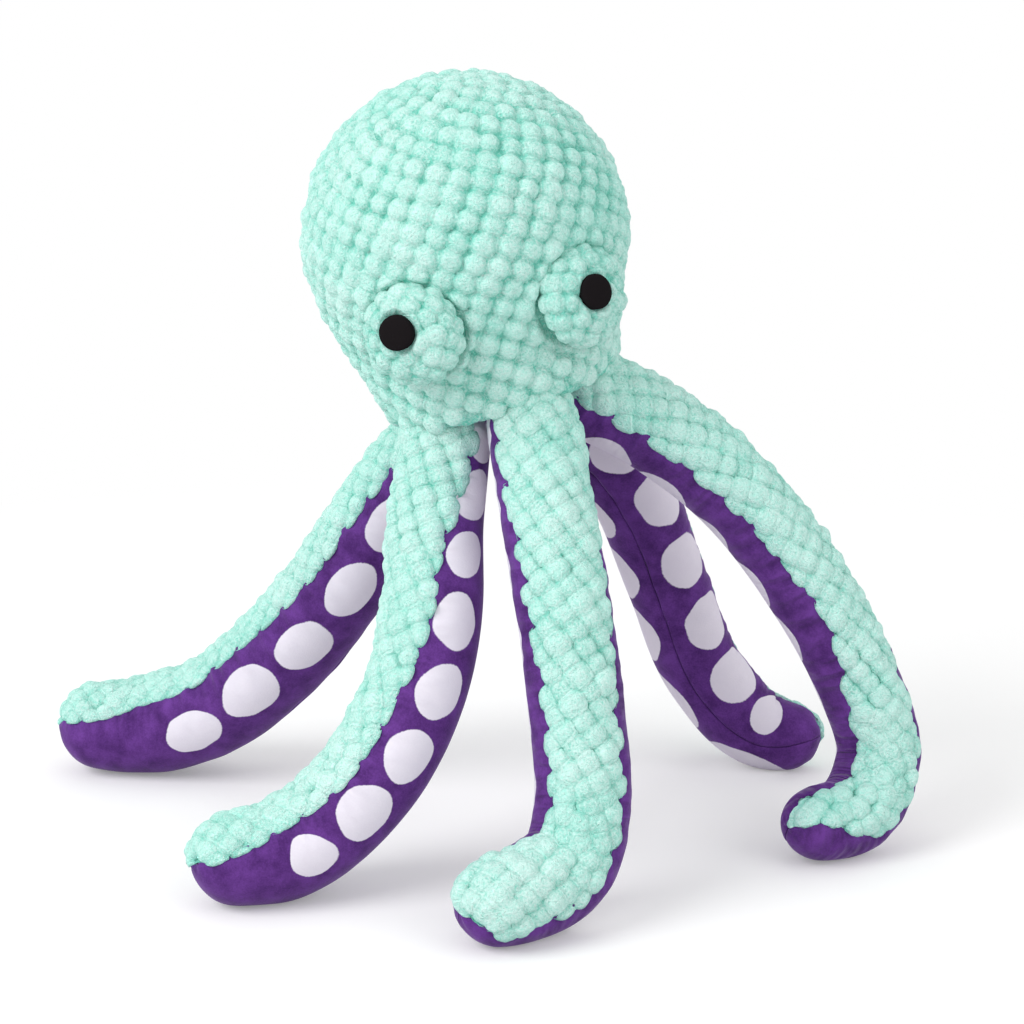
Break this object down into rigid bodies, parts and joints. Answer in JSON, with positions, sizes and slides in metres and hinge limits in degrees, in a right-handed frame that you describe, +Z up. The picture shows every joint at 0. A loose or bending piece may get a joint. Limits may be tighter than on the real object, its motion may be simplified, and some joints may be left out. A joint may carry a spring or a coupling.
{
  "type": "plush octopus toy",
  "caption": "Stuffed toy octopus that stands on its bent tentacles, with a bulb-shaped bobble fabric head, raised eye pads, felt eyes and spotted velour undersides.",
  "frame": {"origin": "on the surface that the toy stands on, under the middle of its bounding box", "axes": "+Z up, -Y the way that the face looks, +X to the right in a view of the face"},
  "size_m": [0.3338, 0.2066, 0.2829],
  "materials": {
    "bobble_fabric": "mint green bobble plush with a short soft pile",
    "velour": "purple short-pile velour with round white spots",
    "felt": "matt black felt",
    "stuffing": "loose white polyester fibre"
  },
  "bodies": {
    "head": {"head_cover": "bobble_fabric", "neck_base_panel": "velour", "head_stuffing": "stuffing", "left_eye_pad_cover": "bobble_fabric", "left_eye_pad_stuffing": "stuffing", "left_eye": "felt", "right_eye_pad_cover": "bobble_fabric", "right_eye_pad_stuffing": "stuffing", "right_eye": "felt"},
    "back_left_tentacle": {"back_left_tentacle_top_cover": "bobble_fabric", "back_left_tentacle_right_under_panel": "velour", "back_left_tentacle_left_under_panel": "velour", "back_left_tentacle_stuffing": "stuffing"},
    "front_left_tentacle": {"front_left_tentacle_top_cover": "bobble_fabric", "front_left_tentacle_right_under_panel": "velour", "front_left_tentacle_left_under_panel": "velour", "front_left_tentacle_stuffing": "stuffing"},
    "front_tentacle": {"front_tentacle_top_cover": "bobble_fabric", "front_tentacle_right_under_panel": "velour", "front_tentacle_left_under_panel": "velour", "front_tentacle_stuffing": "stuffing"},
    "right_tentacle": {"right_tentacle_top_cover": "bobble_fabric", "right_tentacle_right_under_panel": "velour", "right_tentacle_left_under_panel": "velour", "right_tentacle_stuffing": "stuffing"},
    "back_right_tentacle": {"back_right_tentacle_top_cover": "bobble_fabric", "back_right_tentacle_right_under_panel": "velour", "back_right_tentacle_left_under_panel": "velour", "back_right_tentacle_stuffing": "stuffing"}
  },
  "joints": [
    {"name": "back_left_tentacle_swing", "type": "hinge", "parent": "head", "child": "back_left_tentacle", "pos_m": [-0.00681, 0.03566, 0.15362], "axis": [0.6293, 0.7771, 0], "range_deg": [-20, 20], "stiffness_Nm_per_rad": 1},
    {"name": "front_left_tentacle_swing", "type": "hinge", "parent": "head", "child": "front_left_tentacle", "pos_m": [-0.00857, 0.0007, 0.15312], "axis": [-0.5446, 0.8387, 0], "range_deg": [-10, 40], "stiffness_Nm_per_rad": 1},
    {"name": "front_tentacle_swing", "type": "hinge", "parent": "head", "child": "front_tentacle", "pos_m": [0.02284, -0.01184, 0.16212], "axis": [-0.9659, -0.2588, 0], "range_deg": [-8, 40], "stiffness_Nm_per_rad": 1},
    {"name": "right_tentacle_swing", "type": "hinge", "parent": "head", "child": "right_tentacle", "pos_m": [0.04401, 0.01536, 0.1682], "axis": [-0.0523, -0.9986, 0], "range_deg": [-15, 30], "stiffness_Nm_per_rad": 1},
    {"name": "back_right_tentacle_swing", "type": "hinge", "parent": "head", "child": "back_right_tentacle", "pos_m": [0.02569, 0.04471, 0.16294], "axis": [0.9336, -0.3584, 0], "range_deg": [-10, 30], "stiffness_Nm_per_rad": 1}
  ]
}
